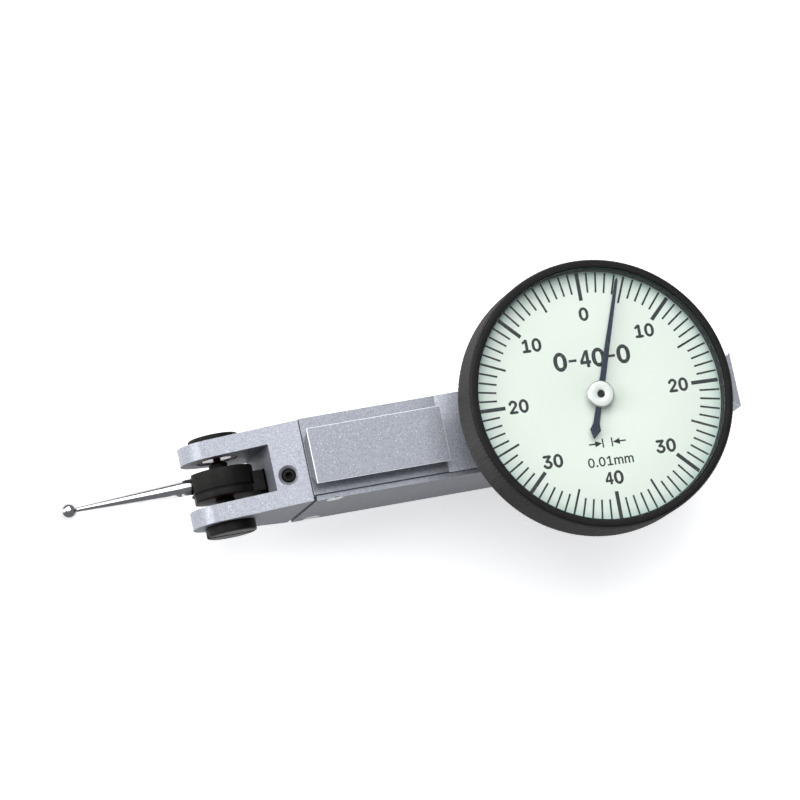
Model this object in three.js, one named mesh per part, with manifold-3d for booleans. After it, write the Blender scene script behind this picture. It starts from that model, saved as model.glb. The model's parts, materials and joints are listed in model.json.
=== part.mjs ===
// Lever dial test indicator: a fork head with a swivelling stylus, a slim body with dovetails,
// and a round dial whose bezel and dial plate turn together.
//
// Frame, in millimetres: X runs along the body, stylus at -X and dial at +X. Y runs across it,
// parallel to the lever's pivot. Z is the dial's normal. The origin is on the dial's axis, on
// the resting face of the bottom dovetail.
//
// Inside, the lever's toothed sector turns the crown arbor's pinion, the crown wheel turns the
// centre pinion, and the centre arbor carries the pointer.

import * as THREE from 'three';
import { mergeVertices } from 'three/addons/utils/BufferGeometryUtils.js';
import Module from 'manifold-3d';

const wasm = await Module();
wasm.setup();

// ---------------------------------------------------------------- driving dimensions

const DOVETAIL = { width: 6.2, height: 2.2, flank: 30 };  // flank: degrees from the normal
const BODY = { front: -30.9, rear: 15.2, half: 4.6, bottom: 2.2, top: 15.7 };
const COVER = 0.55;                     // thickness of the side cover
const BODY_NEAR = COVER - BODY.half;    // the body's open side, under the cover
const DECK = { front: -15.4, top: 15.85 };  // the raised rear deck under the dial
const TOP_RAIL = { front: -30.75, rear: -15.5 };
const BOTTOM_RAIL_FRONT = -12;
const REAR_RAIL_TOP = 20.6;

const PIVOT = { x: -39, z: 8.95 };      // the lever's axis, along Y
const NOSE = { x: -39.5, r: 3.6 };      // rounded end of the fork
const FORK = { half: 4.52, slot: 2.6, back: -34.43, seam: -30.95 };
const STYLUS = { length: 17, ball: 1.0, tip: 0.33, root: 0.9, droop: 10, y: 0.3 };
const FLATS = { start: 1.3, end: 2.7, sunk: 0.16, turn: 45 };     // from the hub, for a spanner
const HUB = { r: 3.6, flat: 3.2, near: -0.75, far: 1.35 };  // flat: from the axis to its front
const LEVER = { near: -1.7, far: -0.95, chamfer: 0.15, half: 0.8, inner: [1.2, 2.2] };
const SHAFT = { r: 0.95, collar: 1.05, neck: 0.4 };
const JEWEL = { r: 1.7, near: 2.7, far: 3.25 };
const CAP = { r: 2.85, plug: 2.2, nearFace: 5.7, farFace: 5.22 };

const DIAL = { z: 25.6, r: 14, thick: 0.4 };
const BEZEL = { r: 14.85, bore: 13.72, recess: 14.12, bottom: 21.5, top: 27.2 };
const CASE = { base: 15.9, floor: 16.9, neck: 12.6, r: 13.6, wall: 1, step: 21, top: 24.6 };
const CRYSTAL = { r: 13.9, bottom: 26.75, top: 27.12 };
const SNAP_RING = { inner: 13.25, outer: 14.28, bottom: 22.7, top: 23.4, gap: 24 };  // degrees
const POINTER = { bottom: 26.2, top: 26.4, tip: 13.2, tail: 5, hub: 1.5, hubTop: 26.68 };
const POINTER_REST = 20.6;              // degrees clockwise from +Y
const ARBOR = { r: 0.35, pivot: 0.15 };
const HAIRSPRING = { inner: 1.2, outer: 4, turns: 3, wire: 0.14, bottom: 18.7, top: 19.1 };

// Gear train. Each pair meets at its pitch circles, pitch radius = teeth * module / 2.
const SECTOR = { teeth: 378, module: 0.2, made: 8, near: 2.25, far: 2.95 };
const CROWN_PINION = { teeth: 12, module: 0.2, near: 2.05, far: 3.1 };
const CROWN_WHEEL = { teeth: 43, module: 0.16, face: -0.65, root: -1.02, back: -1.35 };
const CENTRE_PINION = { teeth: 10, module: 0.16, bottom: 11.6, top: 13.2 };
const pitchRadius = (gear) => gear.teeth * gear.module / 2;

const CAVITY = { front: -29.4, rear: 12, far: 3.2, bottom: 4, top: 13.9 };
const WINDOW = { near: -2.1, far: 0.7, half: 1.7 };  // the lever's way from fork to body
const COVER_SCREWS = { x: [-28.4, 11.6], z: [3.1, 14.75] };
const HEAD_SCREWS = { y: 1.9, z: [5.6, 12.3] };
const CASE_SCREWS = [[-10, 2.4], [-10, -2.4], [10, 0]];
const CROWN_BRIDGE = { near: -3.95, far: -3.3, half: 1.8, screws: [4.7, 13.2] };
const BRACKET = { half: 0.55, arm: [9.85, 10.5], web: [1.9, 2.6], foot: 6, screw: 4.6 };
const SET_SCREW = { x: -33, y: -1.2, r: 0.75, sunk: 0.35, length: 2.6, sink: 0.3 };
const BRIDGE = { bottom: 21, top: 22.2, half: 2.2, legs: 8.2, leg: 2.3 };
const RUN = 0.05;                       // radial clearance of a turning or fitted part

// ---------------------------------------------------------------- materials

const finish = (color, roughness, metalness) => ({ color, roughness, metalness });
const SATIN_CHROME = finish(0xb9bdc6, 0.45, 0.85);
const BLACK_OXIDE = finish(0x1d1c1b, 0.4, 0.5);
const BLACK_BEZEL = finish(0x17181a, 0.35, 0.4);
const POLISHED_STEEL = finish(0xc9ccd0, 0.15, 1);
const BRASS = finish(0xb08d45, 0.35, 1);
const RUBY = finish(0x9c1630, 0.12, 0);
const SPRING_BRONZE = finish(0xa9805a, 0.3, 1);
const DIAL_WHITE = finish(0xe3f1e8, 0.6, 0);
const POINTER_BLUE = finish(0x16294a, 0.35, 0.3);
const CLEAR = finish(0xeef6f4, 0.05, 0);

// ---------------------------------------------------------------- shape helpers

// A closed three.js geometry as a solid. Triangles that closed up on the axis are dropped.
function solid(geometry) {
  const bare = geometry.clone();
  bare.deleteAttribute('normal');
  bare.deleteAttribute('uv');
  const merged = mergeVertices(bare, 1e-5);
  const corners = merged.index.array;
  const kept = [];
  for (let i = 0; i < corners.length; i += 3) {
    const [a, b, c] = corners.slice(i, i + 3);
    if (a !== b && b !== c && c !== a) kept.push(a, b, c);
  }
  return new wasm.Manifold(new wasm.Mesh({
    numProp: 3,
    vertProperties: new Float32Array(merged.attributes.position.array),
    triVerts: new Uint32Array(kept),
  }));
}

function geometryOf(body) {
  const mesh = body.getMesh();
  const geometry = new THREE.BufferGeometry();
  geometry.setAttribute('position', new THREE.BufferAttribute(mesh.vertProperties, 3));
  geometry.setIndex(new THREE.BufferAttribute(mesh.triVerts, 1));
  geometry.computeVertexNormals();
  return geometry;
}

const join = (...bodies) => bodies.reduce((sum, next) => sum.add(next));
const cut = (body, ...tools) => tools.reduce((left, tool) => left.subtract(tool), body);

function box([x0, x1], [y0, y1], [z0, z1]) {
  const geometry = new THREE.BoxGeometry(x1 - x0, y1 - y0, z1 - z0);
  return solid(geometry.translate((x0 + x1) / 2, (y0 + y1) / 2, (z0 + z1) / 2));
}

// Rings and pins from [radius, height] corners, counter-clockwise with the radius to the
// right. A closed section repeats its first corner.
const revolve = (corners, segments) => new THREE.LatheGeometry(
  corners.map(([r, h]) => new THREE.Vector2(r, h)), segments);

function turnZ(corners, x = 0, y = 0, segments = 14) {
  return solid(revolve(corners, segments).rotateX(Math.PI / 2).translate(x, y, 0));
}

function turnY(corners, x, z, segments = 14) {
  return solid(revolve(corners, segments).translate(x, 0, z));
}

function turnX(corners, y, z, segments = 14) {
  return solid(revolve(corners, segments).rotateZ(-Math.PI / 2).translate(0, y, z));
}

const rod = (r, from, to) => [[0, from], [r, from], [r, to], [0, to]];
const tube = (bore, r, from, to) => [[bore, from], [r, from], [r, to], [bore, to], [bore, from]];

function outline(points) {
  return new THREE.Shape(points.map(([a, b]) => new THREE.Vector2(a, b)));
}

const extrude = (shape, depth) => new THREE.ExtrudeGeometry(shape, {
  depth, bevelEnabled: false, curveSegments: 8, steps: 1,
});

// An outline in the XY plane, raised from z0 to z1.
const raise = (shape, z0, z1) => solid(extrude(shape, z1 - z0).translate(0, 0, z0));

// An outline given as (x, z), pushed across from y0 to y1.
function across(shape, y0, y1) {
  return solid(extrude(shape, y1 - y0).rotateX(Math.PI / 2).translate(0, y1, 0));
}

const dovetailOutline = () => {
  const half = DOVETAIL.width / 2;
  const root = half - DOVETAIL.height * Math.tan(THREE.MathUtils.degToRad(DOVETAIL.flank));
  return outline([[-root, -0.2], [root, -0.2], [root, 0], [half, DOVETAIL.height],
    [-half, DOVETAIL.height], [-root, 0]]);
};

// A dovetail rail that stands up from height zero and runs from 0 to length along X.
const rail = (length) => extrude(dovetailOutline(), length).rotateX(Math.PI / 2)
  .rotateZ(Math.PI / 2);

// The four corners of one gear tooth, centred on the angle `middle`.
function toothCorners({ teeth, module }, middle) {
  const pitch = pitchRadius({ teeth, module });
  const [root, tip] = [pitch - 1.2 * module, pitch + 0.9 * module];
  const step = 2 * Math.PI / teeth;
  const [wide, narrow] = [0.29 * step, 0.11 * step];
  return [[root, -wide], [tip, -narrow], [tip, narrow], [root, wide]]
    .map(([r, a]) => [r * Math.cos(middle + a), r * Math.sin(middle + a)]);
}

// A small gear's outline around the origin, with a tooth centred on the angle `phase`.
function gearOutline(gear, phase, bore) {
  const points = [];
  for (let i = 0; i < gear.teeth; i += 1) {
    points.push(...toothCorners(gear, phase + 2 * Math.PI * i / gear.teeth));
  }
  const shape = outline(points);
  shape.holes.push(new THREE.Path().absarc(0, 0, bore, 0, 2 * Math.PI, true));
  return shape;
}

// ---------------------------------------------------------------- the assembly

const group = new THREE.Group();
group.name = 'dial_test_indicator';

function part(name, body, look, parent = group) {
  const mesh = new THREE.Mesh(geometryOf(body), new THREE.MeshStandardMaterial(look));
  mesh.name = name;
  parent.add(mesh);
  return mesh;
}

// ---------------------------------------------------------------- frame: body and fork head

function railsOfBody() {
  const top = rail(TOP_RAIL.rear - TOP_RAIL.front).translate(TOP_RAIL.front, 0, BODY.top);
  const bottom = rail(BODY.rear - BOTTOM_RAIL_FRONT).rotateX(Math.PI)
    .translate(BOTTOM_RAIL_FRONT, 0, BODY.bottom);
  const rear = rail(REAR_RAIL_TOP - BODY.bottom).rotateY(Math.PI / 2)
    .translate(BODY.rear, 0, REAR_RAIL_TOP);
  return [top, bottom, rear].map(solid);
}

// Holes that the body's screws go into, each with its thread's running clearance.
function bodyScrewHoles() {
  const holes = CASE_SCREWS.map(([x, y]) => turnZ(rod(0.7 + RUN, 14.1, 17), x, y, 10));
  for (const z of HEAD_SCREWS.z) {
    const bore = rod(0.7 + RUN, BODY.front - 1, CAVITY.front + 1);
    holes.push(turnX(bore, HEAD_SCREWS.y, z, 10));
  }
  for (const x of COVER_SCREWS.x) {
    for (const z of COVER_SCREWS.z) holes.push(turnY(rod(0.5 + RUN, -5, -1.4), x, z, 8));
  }
  for (const z of CROWN_BRIDGE.screws) holes.push(turnY(rod(0.4 + RUN, -4, -1.9), 0, z, 8));
  holes.push(turnZ(rod(0.4 + RUN, 13, 15.2), BRACKET.screw, 0, 12));
  return holes;
}

function bodyFrame() {
  const width = [BODY_NEAR, BODY.half];
  const block = box([BODY.front, BODY.rear], width, [BODY.bottom, BODY.top]);
  const deck = box([DECK.front, BODY.rear], width, [BODY.top - 1, DECK.top]);
  const post = box([13, BODY.rear], width, [DECK.top - 1, REAR_RAIL_TOP]);
  const cavity = box([CAVITY.front, CAVITY.rear], [-6, CAVITY.far], [CAVITY.bottom, CAVITY.top]);
  const lugs = [[CAVITY.bottom - 1, 5.5], [12.4, CAVITY.top + 1]]
    .map((height) => box([-1.5, 1.5], [CROWN_BRIDGE.far + RUN, -1.7], height));
  const window = box([BODY.front - 1, CAVITY.front + 1], [WINDOW.near, WINDOW.far],
    [PIVOT.z - WINDOW.half, PIVOT.z + WINDOW.half]);
  const arborHole = turnZ(rod(0.9, CAVITY.top - 1, DECK.top + 1));
  const jewelHole = turnY(rod(1 + RUN, CAVITY.far - 1, BODY.half + 1), 0, PIVOT.z);
  const shell = cut(join(block, deck, post, ...railsOfBody()), cavity);
  return cut(join(shell, ...lugs), window, arborHole, jewelHole, ...bodyScrewHoles());
}

// The fork tapers above and below towards its round nose, by this angle in radians.
function noseTaper() {
  const half = (BODY.top - BODY.bottom) / 2;
  const reach = FORK.seam - NOSE.x;
  return Math.atan2(half, reach) - Math.asin(NOSE.r / Math.hypot(half, reach));
}

function forkOutline() {
  const taper = noseTaper();
  const shape = new THREE.Shape();
  shape.moveTo(FORK.seam, BODY.bottom);
  shape.lineTo(FORK.seam, BODY.top);
  shape.absarc(NOSE.x, PIVOT.z, NOSE.r, Math.PI / 2 + taper, 1.5 * Math.PI - taper, false);
  return shape;
}

// A turned shape standing square on the fork's sloping top, heights measured from that face.
function squareToFork(corners, segments = 16) {
  const taper = noseTaper();
  const face = BODY.top - Math.tan(taper) * (FORK.seam - SET_SCREW.x);
  return turnZ(corners, 0, 0, segments).rotate([0, -taper * 180 / Math.PI, 0])
    .translate([SET_SCREW.x, SET_SCREW.y, face]);
}

function forkHead() {
  const blank = across(forkOutline(), -FORK.half, FORK.half);
  const slot = box([-60, FORK.back], [-FORK.slot, FORK.slot], [-5, 30]);
  const window = box([FORK.back - 1, BODY.front + 1], [WINDOW.near, WINDOW.far],
    [PIVOT.z - WINDOW.half, PIVOT.z + WINDOW.half]);
  const bearingHole = turnY(rod(CAP.plug + 2 * RUN, -9, 9), PIVOT.x, PIVOT.z, 20);
  const bodyScrews = HEAD_SCREWS.z.map((z) => turnX(rod(0.7 + RUN, -33.4, -30),
    HEAD_SCREWS.y, z, 10));
  const bore = SET_SCREW.r + RUN;
  const depth = SET_SCREW.sunk + SET_SCREW.length + 0.3;
  const rim = bore + SET_SCREW.sink;
  const setHole = squareToFork([[0, -depth], [bore, -depth], [bore, -SET_SCREW.sink], [rim, 0],
    [rim, 1], [0, 1]]);
  return cut(blank, slot, window, bearingHole, ...bodyScrews, setHole);
}

function sideCover() {
  const plate = box([BODY.front + 0.35, BODY.rear - 0.2], [-BODY.half, BODY_NEAR - RUN],
    [BODY.bottom + 0.1, BODY.top - 0.1]);
  const sinks = [];
  for (const x of COVER_SCREWS.x) {
    for (const z of COVER_SCREWS.z) sinks.push(turnY(countersunk(RUN), x, z, 12));
  }
  return cut(plate, ...sinks);
}

// A countersunk screw's section, pointing along +Y from the cover's outer face.
const countersunk = (extra) => {
  const [head, shank, tip] = [0.95 + extra, 0.5 + extra, -1.6 + extra];
  return [[0, -BODY.half - extra], [head, -BODY.half - extra], [shank, -BODY.half + 0.42],
    [shank, tip], [0, tip]];
};

// A straight slot across a screw's head, as the tool that cuts it.
const slotAcross = (x, z, top) => box([x - 2, x + 2], [top - 1, top + 0.22], [z - 0.13, z + 0.13]);

function coverScrews() {
  let count = 0;
  for (const x of COVER_SCREWS.x) {
    for (const z of COVER_SCREWS.z) {
      count += 1;
      const screw = cut(turnY(countersunk(0), x, z, 12), slotAcross(x, z, -BODY.half));
      part(`side_cover_screw_${count}`, screw, POLISHED_STEEL);
    }
  }
}

function headScrews() {
  HEAD_SCREWS.z.forEach((z, i) => {
    const [seat, head] = [CAVITY.front + RUN, 1];
    const screw = turnX([[0, -33.3], [0.7, -33.3], [0.7, seat], [1.2, seat],
      [1.2, seat + head], [0, seat + head]], HEAD_SCREWS.y, z, 10);
    const slot = box([seat + 0.6, seat + 2], [-1, 4], [z - 0.2, z + 0.2]);
    part(`head_screw_${i + 1}`, cut(screw, slot), POLISHED_STEEL);
  });
}

function setScrew() {
  const { r, sunk, length } = SET_SCREW;
  const bottom = -sunk - length;
  const screw = squareToFork([[0, bottom], [r - 0.3, bottom], [r, bottom + 0.3], [r, -sunk - 0.12],
    [r - 0.12, -sunk], [0, -sunk]]);
  const socket = squareToFork([[0, -sunk - 0.9], [0.42, -sunk - 0.9], [0.42, 1], [0, 1]], 6);
  return cut(screw, socket);
}

// ---------------------------------------------------------------- lever, pivot and stylus

// `side` is +1 for the far ear and -1 for the near one.
const onSide = (corners, side) => (side > 0 ? corners
  : corners.map(([r, h]) => [r, -h]).reverse());

function bearingCap(side) {
  const seat = FORK.half + RUN;
  const face = side > 0 ? CAP.farFace : CAP.nearFace;
  const ring = [[0, 4], [0.8, 4], [0.8, JEWEL.far + RUN], [JEWEL.r + RUN, JEWEL.far + RUN],
    [JEWEL.r + RUN, JEWEL.near], [CAP.plug, JEWEL.near], [CAP.plug, seat], [CAP.r, seat],
    [CAP.r, face - 0.15], [CAP.r - 0.15, face], [0, face]];
  const slot = box([PIVOT.x - 4, PIVOT.x + 4],
    side > 0 ? [face - 0.35, 9] : [-9, 0.35 - face], [PIVOT.z - 0.3, PIVOT.z + 0.3]);
  return cut(turnY(onSide(ring, side), PIVOT.x, PIVOT.z), slot);
}

function pivotShaft() {
  const { r, collar, neck } = SHAFT;
  const far = [[collar, HUB.far + RUN], [collar, 2.15], [0.55, 2.45], [neck, 2.45], [neck, 3.8],
    [0, 3.8]];
  const near = [[0, -3.8], [neck, -3.8], [neck, -2.45], [0.55, -2.45], [collar, -2.15],
    [collar, LEVER.near - RUN]];
  const middle = [[r, LEVER.near - RUN], [r, HUB.far + RUN]];
  return turnY([...near, ...middle, ...far], PIVOT.x, PIVOT.z);
}

function frontFlat(near, far) {
  return box([-20, -HUB.flat], [near - 1, far + 1], [-20, 20]);
}

function leverDisc() {
  const { near, far, chamfer } = LEVER;
  const bore = SHAFT.r + RUN;
  const ring = turnY([[bore, near], [HUB.r - chamfer, near], [HUB.r, near + chamfer],
    [HUB.r, far], [bore, far], [bore, near]], 0, 0, 28);
  const droop = STYLUS.droop;
  return cut(ring, frontFlat(near, far)).rotate([0, -droop, 0]).translate([PIVOT.x, 0, PIVOT.z]);
}

// The arm leaves the disc along +X, then steps across to the sector's plane.
function leverArm() {
  const { near, far, half, inner } = LEVER;
  const plan = outline([[-37, near], [-25.5, near], [-21.5, inner[0]], [-4, inner[0]],
    [-4, inner[1]], [-22.2, inner[1]], [-26.2, far], [-37, far]]);
  const arm = raise(plan, PIVOT.z - half, PIVOT.z + half);
  const root = box([-35.2, -32], [near, 0.5], [PIVOT.z - 1.2, PIVOT.z + 1.2]);
  const saddle = cut(box([-36.4, -34.8], [near, 0.5], [PIVOT.z - 2.2, PIVOT.z + 2.2]),
    turnY(rod(HUB.r + 0.15, far + 0.05, 2), PIVOT.x, PIVOT.z, 28));
  return join(leverDisc(), arm, root, saddle);
}

// Only the few teeth that the short swing uses are made, with a gap on the centre line.
function sectorGear() {
  const step = 2 * Math.PI / SECTOR.teeth;
  const points = [[30, -LEVER.half], [34, -LEVER.half]];
  for (let i = 0; i < SECTOR.made; i += 1) {
    points.push(...toothCorners(SECTOR, (i + 0.5 - SECTOR.made / 2) * step));
  }
  points.push([34, LEVER.half], [30, LEVER.half]);
  const shape = outline(points.map(([x, z]) => [x + PIVOT.x, z + PIVOT.z]));
  return across(shape, SECTOR.near, SECTOR.far);
}

function frictionWasher() {
  const bore = SHAFT.r + RUN;
  return turnY(tube(bore, 2.6, LEVER.far + 0.03, HUB.near - 0.03), PIVOT.x, PIVOT.z);
}

// The stylus group turns with its own droop, so these three are built around the pivot.
function stylusHub() {
  const drum = turnY(tube(SHAFT.r + RUN, HUB.r, HUB.near, HUB.far), 0, 0, 28);
  const thread = turnX(rod(0.5 + RUN, -HUB.flat - 1, -1.3), STYLUS.y, 0, 10);
  return cut(drum, frontFlat(HUB.near, HUB.far), thread);
}

function stylusRod() {
  const { length, ball, tip, root } = STYLUS;
  const inBall = -length + ball * 0.4;
  const profile = [[0, inBall], [tip, inBall], [tip, -length + ball],
    [tip + 0.02, -length + ball + 0.3], [root, -HUB.flat - 1.2], [root, -HUB.flat - RUN],
    [0.5, -HUB.flat - RUN], [0.5, -1.4], [0, -1.4]];
  const body = turnX(profile, STYLUS.y, 0, 8);
  const along = [-HUB.flat - FLATS.end, -HUB.flat - FLATS.start];
  const upper = box(along, [-2, 2], [root - FLATS.sunk, 2]).rotate([FLATS.turn, 0, 0]);
  const flats = [upper, upper.rotate([180, 0, 0])].map((flat) => flat.translate([0, STYLUS.y, 0]));
  return cut(body, ...flats);
}

function stylusBall() {
  const { length, ball, tip } = STYLUS;
  const sphere = solid(new THREE.SphereGeometry(ball, 16, 10).translate(-length, STYLUS.y, 0));
  return cut(sphere, turnX(rod(tip + RUN, -length + ball * 0.35, -length + 3), STYLUS.y, 0, 10));
}

// ---------------------------------------------------------------- crown arbor and its bearings

function crownArbor() {
  return turnY([[0, -3.85], [0.2, -3.85], [0.2, -3.25], [0.4, -3.25], [0.4, 3.15], [0.2, 3.15],
    [0.2, 3.9], [0, 3.9]], 0, PIVOT.z, 10);
}

// A face gear: a disc with its teeth standing up across the arbor.
function crownWheel() {
  const { teeth, face, root, back } = CROWN_WHEEL;
  const pitch = pitchRadius(CROWN_WHEEL);
  const [inner, outer] = [pitch - 0.45, pitch + 0.45];
  const disc = turnY([[0.4 + RUN, back - 0.8], [1, back - 0.8], [1, back], [outer, back],
    [outer, root], [0.4 + RUN, root], [0.4 + RUN, back - 0.8]], 0, 0, 28);
  const step = 2 * Math.PI / teeth;
  const wide = 0.29 * step * pitch;
  const narrow = 0.11 * step * pitch;
  const section = outline([[-wide, root - 0.1], [wide, root - 0.1], [narrow, face],
    [-narrow, face]]);
  const tooth = solid(extrude(section, outer - inner - 0.06).translate(0, 0, inner));
  const ring = [];
  for (let i = 0; i < teeth; i += 1) ring.push(tooth.rotate([0, i * 360 / teeth, 0]));
  return join(disc, ...ring).translate([0, 0, PIVOT.z]);
}

function crownPinion() {
  const shape = gearOutline(CROWN_PINION, 0, 0.4 + RUN);
  return across(shape, CROWN_PINION.near, CROWN_PINION.far).translate([0, 0, PIVOT.z]);
}

const crownJewel = (bore, r, near, far) => turnY(tube(bore, r, near, far), 0, PIVOT.z);

function crownBridge() {
  const { near, far, half, screws } = CROWN_BRIDGE;
  const plate = box([-half, half], [near, far], [CAVITY.bottom + 0.1, CAVITY.top - 0.1]);
  const holes = screws.map((z) => turnY([[0, -5], [0.85, -5], [0.85, near + 0.35],
    [0.4 + RUN, near + 0.35], [0.4 + RUN, -3], [0, -3]], 0, z, 10));
  return cut(plate, turnY(rod(0.8 + RUN, -5, -3), 0, PIVOT.z), ...holes);
}

function smallScrew(z) {
  const seat = CROWN_BRIDGE.near + 0.3;
  const screw = turnY([[0, CROWN_BRIDGE.near], [0.75, CROWN_BRIDGE.near], [0.75, seat],
    [0.4, seat], [0.4, -2], [0, -2]], 0, z, 10);
  return cut(screw, slotAcross(0, z, CROWN_BRIDGE.near - 0.1));
}

// ---------------------------------------------------------------- centre arbor and its bearings

// A bracket under the body's roof carries the centre arbor's lower jewel.
function lowerBracket() {
  const { half, arm, web, foot, screw } = BRACKET;
  const roof = CAVITY.top - RUN;
  const profile = outline([[-0.8, arm[0]], [web[1], arm[0]], [web[1], roof - 0.8],
    [foot, roof - 0.8], [foot, roof], [web[0], roof], [web[0], arm[1]], [-0.8, arm[1]]]);
  const holes = [turnZ(rod(0.38, 9, 11), 0, 0, 10), turnZ(rod(0.4 + RUN, 12, 15), screw, 0, 12)];
  return cut(across(profile, -half, half), ...holes);
}

function bracketScrew() {
  const seat = CAVITY.top - RUN - 0.8 - 0.03;
  return turnZ([[0, seat - 0.5], [0.75, seat - 0.5], [0.75, seat], [0.4, seat], [0.4, 15],
    [0, 15]], BRACKET.screw, 0, 10);
}

function centreArbor() {
  const shoulder = BRACKET.arm[1] + RUN;
  return turnZ([[0, 9.95], [ARBOR.pivot, 9.95], [ARBOR.pivot, shoulder], [ARBOR.r, shoulder],
    [ARBOR.r, POINTER.hubTop - 0.1], [0, POINTER.hubTop - 0.1]], 0, 0, 10);
}

function centrePinion() {
  const { bottom, top } = CENTRE_PINION;
  const gapAtWheel = -Math.PI / 2 + Math.PI / CENTRE_PINION.teeth;
  return raise(gearOutline(CENTRE_PINION, gapAtWheel, ARBOR.r + RUN), bottom, top);
}

// A flat spiral ribbon, wound outwards from the collet.
function hairspring() {
  const { inner, outer, turns, wire, bottom, top } = HAIRSPRING;
  const steps = turns * 16;
  const side = (offset) => Array.from({ length: steps + 1 }, (_, i) => {
    const r = inner + (outer - inner) * i / steps + offset;
    const angle = 2 * Math.PI * turns * i / steps;
    return [r * Math.cos(angle), r * Math.sin(angle)];
  });
  return raise(outline([...side(wire / 2), ...side(-wire / 2).reverse()]), bottom, top);
}

function hairspringStud() {
  const pin = turnZ(rod(0.5, HAIRSPRING.bottom, BRIDGE.bottom + 0.6), HAIRSPRING.outer + 0.65, 0);
  return pin;
}

function movementBridge() {
  const { bottom, top, half, legs, leg } = BRIDGE;
  const bar = box([-half, half + 3.2], [-legs, legs], [bottom, top]);
  const posts = [legs, -legs].map((y) => turnZ(rod(leg, CASE.floor + RUN, top), 0, y, 16));
  const holes = [legs, -legs].map((y) => turnZ(rod(0.6 + RUN, 15, 25), 0, y, 10));
  const stud = turnZ(rod(0.5 + RUN, bottom - 1, bottom + 0.65), HAIRSPRING.outer + 0.65, 0);
  return cut(join(bar, ...posts), ...holes, turnZ(rod(1.1 + RUN, 20, 23)), stud);
}

function panScrew(x, y, seat, [shank, tip], [head, height]) {
  const screw = turnZ([[0, tip], [shank, tip], [shank, seat], [head, seat],
    [head, seat + height - 0.15], [head - 0.15, seat + height], [0, seat + height]], x, y, 10);
  const slot = box([x - 2, x + 2], [y - 0.15, y + 0.15],
    [seat + height - 0.3, seat + height + 1]);
  return cut(screw, slot);
}

// ---------------------------------------------------------------- case, bezel, dial, pointer

const ROUND = 48;                       // facets of the large rings

function dialCase() {
  const { base, floor, neck, r, wall, step, top } = CASE;
  const groove = [SNAP_RING.bottom - RUN, SNAP_RING.top + RUN];
  const section = [[1.2, base], [neck, base], [neck, step], [r, step], [r, groove[0]],
    [r - 0.45, groove[0]], [r - 0.45, groove[1]], [r, groove[1]], [r, top], [r - wall, top],
    [r - wall, step + 0.6], [neck - wall, step + 0.6], [neck - wall, floor], [1.2, floor],
    [1.2, base]];
  const holes = CASE_SCREWS.map(([x, y]) => turnZ(rod(0.7 + RUN, 15, 18), x, y, 10));
  for (const y of [BRIDGE.legs, -BRIDGE.legs]) holes.push(turnZ(rod(0.6 + RUN, 15, 18), 0, y, 10));
  return cut(turnZ(section, 0, 0, ROUND), ...holes);
}

function snapRing() {
  const { inner, outer, bottom, top, gap } = SNAP_RING;
  const wedge = outline([[0, 0], [30, 0], [30 * Math.cos(gap * Math.PI / 180),
    30 * Math.sin(gap * Math.PI / 180)]]);
  return cut(turnZ(tube(inner, outer, bottom, top), 0, 0, ROUND), raise(wedge, 20, 26));
}

function bezel() {
  const { r, bore, recess, bottom, top } = BEZEL;
  const groove = [SNAP_RING.bottom - 0.1, SNAP_RING.top + 0.1];
  const seat = DIAL.z + RUN;
  const section = [[recess, bottom], [r - 0.3, bottom], [r, bottom + 0.3], [r, top - 0.4],
    [r - 0.4, top], [CRYSTAL.r + RUN, top], [CRYSTAL.r + RUN, CRYSTAL.bottom - 0.03],
    [bore, CRYSTAL.bottom - 0.03], [bore, seat], [recess, seat], [recess, groove[1]],
    [recess + 0.3, groove[1]], [recess + 0.3, groove[0]], [recess, groove[0]],
    [recess, bottom]];
  return turnZ(section, 0, 0, ROUND);
}

const dialPlate = () => turnZ(tube(0.9, DIAL.r, DIAL.z - DIAL.thick, DIAL.z), 0, 0, ROUND);
const dialRetainer = () => turnZ(tube(13, DIAL.r, 24.75, DIAL.z - DIAL.thick - 0.03), 0, 0, ROUND);
const crystal = () => turnZ(rod(CRYSTAL.r, CRYSTAL.bottom, CRYSTAL.top), 0, 0, ROUND);

// A needle that widens to its hub, with a kite-shaped tail. Drawn pointing along +Y.
function pointer() {
  const { bottom, top, tip, tail } = POINTER;
  const disc = turnZ(tube(ARBOR.r + RUN, 1.3, bottom, top), 0, 0, 20);
  const needle = raise(outline([[0.34, 1], [0.15, tip - 0.3], [0, tip], [-0.15, tip - 0.3],
    [-0.34, 1]]), bottom, top);
  const kite = raise(outline([[-0.3, -1], [-0.36, 1.7 - tail], [-0.6, 1 - tail], [0, -tail],
    [0.6, 1 - tail], [0.36, 1.7 - tail], [0.3, -1]]), bottom, top);
  return join(disc, needle, kite).rotate([0, 0, -POINTER_REST]);
}

function pointerHub() {
  const { top, hub, hubTop } = POINTER;
  const bore = ARBOR.r + RUN;
  return turnZ([[bore, top + 0.03], [hub, top + 0.03], [hub, hubTop - 0.1], [hub - 0.12, hubTop],
    [bore, hubTop], [bore, top + 0.03]], 0, 0, 20);
}

// ---------------------------------------------------------------- the parts in their places

part('body_frame', bodyFrame(), SATIN_CHROME);
part('fork_head', forkHead(), SATIN_CHROME);
part('side_cover', sideCover(), SATIN_CHROME);
coverScrews();
headScrews();
part('head_set_screw', setScrew(), BLACK_OXIDE);
for (const [name, side] of [['near', -1], ['far', 1]]) {
  part(`bearing_cap_${name}`, bearingCap(side), BLACK_OXIDE);
  const jewel = onSide(tube(SHAFT.neck + RUN, JEWEL.r, JEWEL.near, JEWEL.far), side);
  part(`pivot_jewel_${name}`, turnY(jewel, PIVOT.x, PIVOT.z), RUBY);
}

part('pivot_shaft', pivotShaft(), BLACK_OXIDE);
part('lever_arm', leverArm(), BLACK_OXIDE);
part('sector_gear', sectorGear(), BRASS);
part('friction_washer', frictionWasher(), SPRING_BRONZE);

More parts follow.
